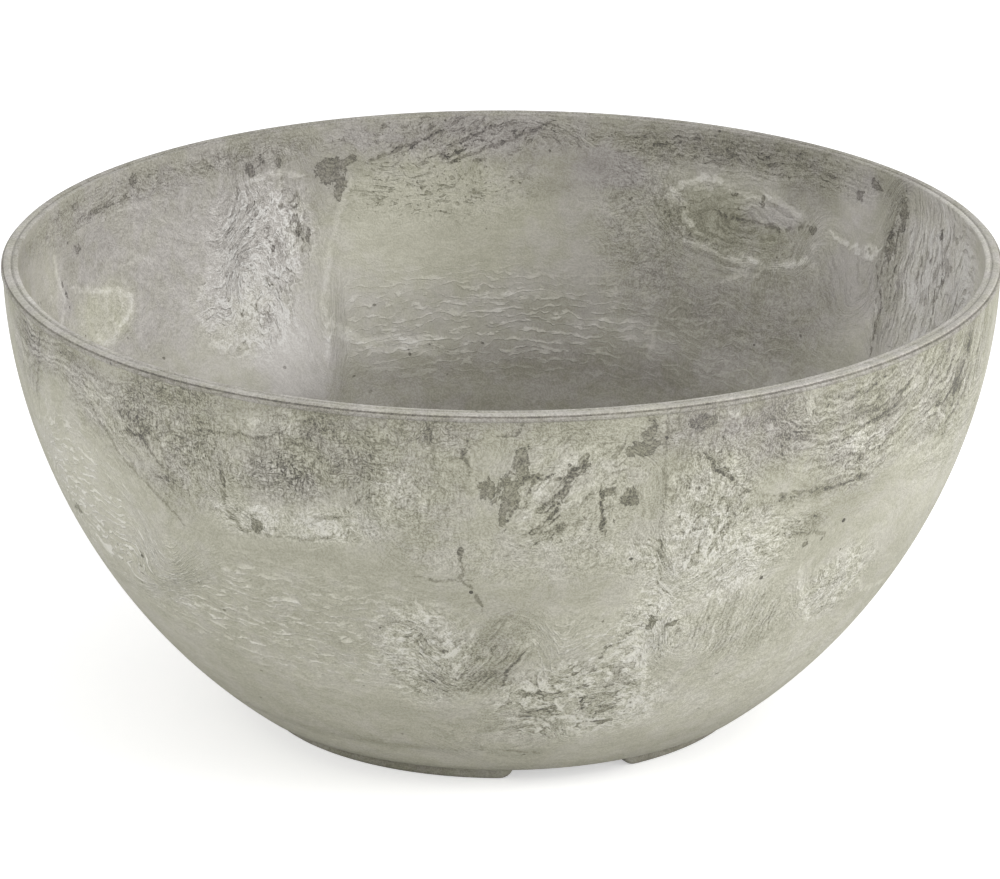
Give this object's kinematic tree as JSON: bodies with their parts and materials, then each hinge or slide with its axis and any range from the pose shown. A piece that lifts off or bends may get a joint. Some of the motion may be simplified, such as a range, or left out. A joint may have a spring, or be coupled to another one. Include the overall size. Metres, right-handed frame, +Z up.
{
  "type": "bowl planter",
  "caption": "Round stone-look planter bowl with a stepped rim and segmented foot ring, holding a lift-out watering plate over a plugged drain.",
  "frame": {"origin": "middle of the foot ring, in the plane of the floor that the bowl stands on", "axes": "+Z up along the bowl's axis; -Y is the side that faces the camera in the picture, +X is to its right"},
  "size_m": [0.31, 0.31, 0.145],
  "materials": {
    "stone_resin": "moulded resin with stone powder, satin grey-green with marbled veins, swirls and pits",
    "plate_plastic": "moulded polypropylene, dark grey, fine spark texture",
    "plug_rubber": "soft black rubber, dull"
  },
  "bodies": {
    "bowl": {"bowl_shell": "stone_resin"},
    "plate": {"watering_plate": "plate_plastic"},
    "plug": {"drain_plug": "plug_rubber"}
  },
  "joints": [
    {"name": "plate_lift", "type": "slide", "parent": "bowl", "child": "plate", "axis": [0, 0, 1], "range_m": [0, 0.16]},
    {"name": "plug_pull", "type": "slide", "parent": "bowl", "child": "plug", "axis": [0, 0, -1], "range_m": [0, 0.03]}
  ]
}
